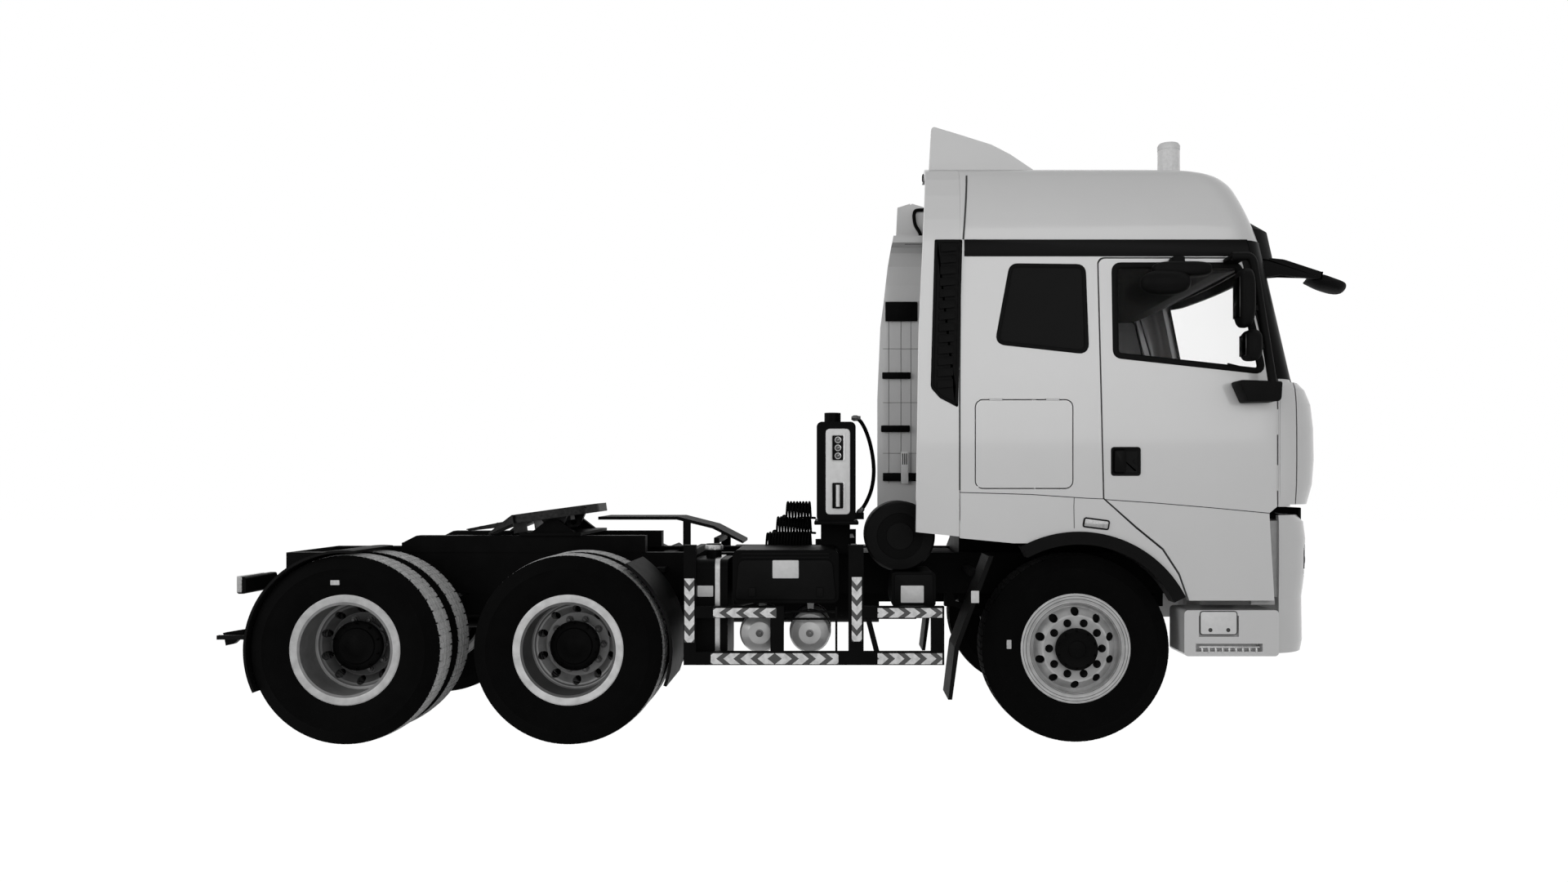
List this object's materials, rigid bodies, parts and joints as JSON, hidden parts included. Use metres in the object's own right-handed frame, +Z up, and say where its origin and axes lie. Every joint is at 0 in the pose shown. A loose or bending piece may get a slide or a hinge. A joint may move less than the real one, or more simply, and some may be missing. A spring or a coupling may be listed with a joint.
{
  "type": "semi truck tractor unit",
  "caption": "Cab-over semi truck tractor with a high-roof sleeper cab, twin drive axles, fifth wheel, side guards and a hydraulic oil tank behind the cab.",
  "frame": {"origin": "on the ground below the middle of the overall box", "axes": "+X forward along the truck, +Y to its left, +Z up"},
  "size_m": [7.184, 3.06, 3.938],
  "materials": {
    "white_paint": "gloss",
    "black_paint": "satin",
    "wheel_paint": "satin",
    "tyre_rubber": "matte",
    "black_plastic": "matte",
    "glass": "gloss",
    "tank_metal": "satin",
    "seat_cloth": "matte"
  },
  "bodies": {
    "chassis": {"chassis_frame": "black_paint", "engine": "black_paint", "front_axle": "black_paint", "drive_axles": "black_paint", "leaf_springs": "black_paint", "fifth_wheel_base": "black_paint", "side_tanks": "tank_metal", "side_boxes": "black_plastic", "air_tanks": "tank_metal", "side_guards": "black_paint", "hydraulic_tank": "black_paint", "hydraulic_hose": "black_plastic", "air_filter": "black_plastic", "cable_bundle": "black_plastic", "mudguards": "black_plastic", "bumper": "white_paint", "headlamps": "glass", "steps": "black_plastic", "rear_lamps": "black_plastic"},
    "cab": {"cab_floor": "black_paint", "cab_back": "white_paint", "cab_sides": "white_paint", "cab_front": "white_paint", "cab_roof": "white_paint", "windscreen": "glass", "side_windows": "glass", "side_fairings": "white_paint", "roof_deflector": "white_paint", "sun_visor": "black_plastic", "front_mirror": "black_plastic", "beacon": "black_plastic", "arch_trims": "black_plastic", "dashboard": "black_plastic", "seats": "seat_cloth", "steering_wheel": "black_plastic"},
    "front_panel": {"front_panel": "white_paint"},
    "tie_rod": {"tie_rod": "black_paint"},
    "fifth_wheel": {"fifth_wheel": "black_paint"},
    "door_right": {"door_right": "white_paint", "door_glass_right": "glass", "mirrors_right": "black_plastic"},
    "locker_right": {"locker_right": "white_paint"},
    "knuckle_right": {"knuckle_right": "black_paint"},
    "front_wheel_right": {"wheel_front_right": "wheel_paint", "tyre_front_right": "tyre_rubber"},
    "middle_wheels_right": {"wheels_middle_right": "wheel_paint", "tyres_middle_right": "tyre_rubber"},
    "rear_wheels_right": {"wheels_rear_right": "wheel_paint", "tyres_rear_right": "tyre_rubber"},
    "door_left": {"door_left": "white_paint", "door_glass_left": "glass", "mirrors_left": "black_plastic"},
    "locker_left": {"locker_left": "white_paint"},
    "knuckle_left": {"knuckle_left": "black_paint"},
    "front_wheel_left": {"wheel_front_left": "wheel_paint", "tyre_front_left": "tyre_rubber"},
    "middle_wheels_left": {"wheels_middle_left": "wheel_paint", "tyres_middle_left": "tyre_rubber"},
    "rear_wheels_left": {"wheels_rear_left": "wheel_paint", "tyres_rear_left": "tyre_rubber"}
  },
  "joints": [
    {"name": "cab_tilt", "type": "hinge", "parent": "chassis", "child": "cab", "pos_m": [3.208, 0, 1.08], "axis": [0, 1, 0], "range_deg": [0, 50]},
    {"name": "front_panel_hinge", "type": "hinge", "parent": "cab", "child": "front_panel", "pos_m": [3.271, 0, 2.272], "axis": [0, -1, 0], "range_deg": [0, 70]},
    {"name": "door_right_hinge", "type": "hinge", "parent": "cab", "child": "door_right", "pos_m": [3.051, -1.236, 1.9], "axis": [0, 0, 1], "range_deg": [0, 75]},
    {"name": "locker_right_hinge", "type": "hinge", "parent": "cab", "child": "locker_right", "pos_m": [1.468, -1.246, 2.17], "axis": [-1, 0, 0], "range_deg": [0, 80]},
    {"name": "steer_right", "type": "hinge", "parent": "chassis", "child": "knuckle_right", "pos_m": [1.808, -0.862, 0.6], "axis": [0, 0, 1], "range_deg": [-36, 36]},
    {"name": "front_wheel_right_spin", "type": "hinge", "parent": "knuckle_right", "child": "front_wheel_right", "pos_m": [1.808, -1.02, 0.6], "axis": [0, 1, 0], "continuous": true},
    {"name": "middle_wheels_right_spin", "type": "hinge", "parent": "chassis", "child": "middle_wheels_right", "pos_m": [-1.392, -0.915, 0.6], "axis": [0, 1, 0], "continuous": true},
    {"name": "rear_wheels_right_spin", "type": "hinge", "parent": "chassis", "child": "rear_wheels_right", "pos_m": [-2.792, -0.915, 0.6], "axis": [0, 1, 0], "continuous": true},
    {"name": "door_left_hinge", "type": "hinge", "parent": "cab", "child": "door_left", "pos_m": [3.051, 1.236, 1.9], "axis": [0, 0, -1], "range_deg": [0, 75]},
    {"name": "locker_left_hinge", "type": "hinge", "parent": "cab", "child": "locker_left", "pos_m": [1.468, 1.246, 2.17], "axis": [1, 0, 0], "range_deg": [0, 80]},
    {"name": "steer_left", "type": "hinge", "parent": "chassis", "child": "knuckle_left", "pos_m": [1.808, 0.862, 0.6], "axis": [0, 0, 1], "range_deg": [-36, 36]},
    {"name": "front_wheel_left_spin", "type": "hinge", "parent": "knuckle_left", "child": "front_wheel_left", "pos_m": [1.808, 1.02, 0.6], "axis": [0, 1, 0], "continuous": true},
    {"name": "middle_wheels_left_spin", "type": "hinge", "parent": "chassis", "child": "middle_wheels_left", "pos_m": [-1.392, 0.915, 0.6], "axis": [0, 1, 0], "continuous": true},
    {"name": "rear_wheels_left_spin", "type": "hinge", "parent": "chassis", "child": "rear_wheels_left", "pos_m": [-2.792, 0.915, 0.6], "axis": [0, 1, 0], "continuous": true},
    {"name": "tie_rod_pivot", "type": "hinge", "parent": "knuckle_left", "child": "tie_rod", "pos_m": [1.618, 0.862, 0.459], "axis": [0, 0, 1], "range_deg": [-36, 36]},
    {"name": "fifth_wheel_rock", "type": "hinge", "parent": "chassis", "child": "fifth_wheel", "pos_m": [-1.692, 0, 1.352], "axis": [0, 1, 0], "range_deg": [0, 18]}
  ],
  "couplings": [
    {"joint": "steer_right", "follows": "steer_left", "ratio": 1},
    {"joint": "tie_rod_pivot", "follows": "steer_left", "ratio": -1}
  ]
}
